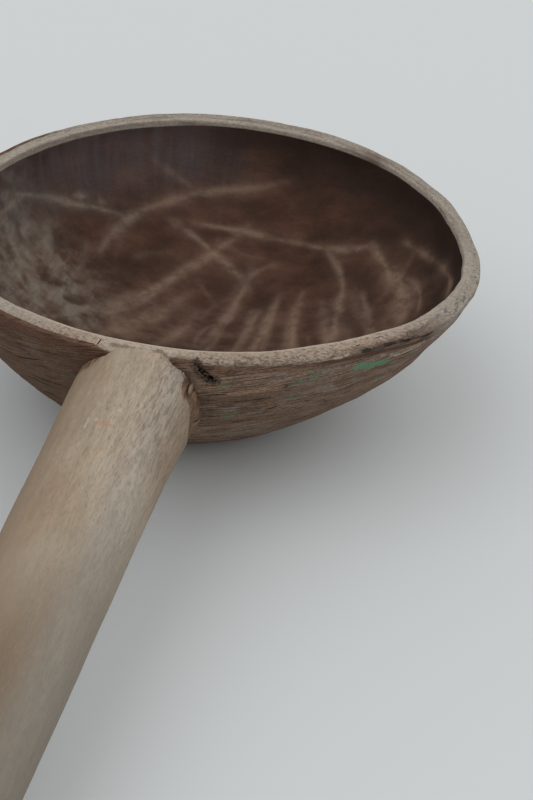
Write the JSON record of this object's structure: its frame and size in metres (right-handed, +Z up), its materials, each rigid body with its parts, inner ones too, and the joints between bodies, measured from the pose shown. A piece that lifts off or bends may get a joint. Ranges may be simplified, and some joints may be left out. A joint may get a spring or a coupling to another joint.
{
  "type": "wooden ladle",
  "caption": "Round wooden ladle with a wide hollowed bowl and a stout tapered handle, tenoned through the wall and locked by a wedge, for dipping and serving.",
  "frame": {"origin": "centre of the flat foot under the bowl, on the surface that the ladle stands on", "axes": "+Z up, square to the rim; +X from the bowl along the handle; +Y to the left seen from the bowl along the handle"},
  "size_m": [0.3924, 0.1604, 0.0581],
  "materials": {
    "bowl_wood": "old dark brown wood, worn matt, pale along the rim",
    "handle_wood": "weathered grey-tan wood, dry and matt",
    "wedge_wood": "split hardwood, dry and matt"
  },
  "bodies": {
    "root": {"bowl": "bowl_wood", "handle": "handle_wood", "tenon_wedge": "wedge_wood"}
  },
  "joints": []
}
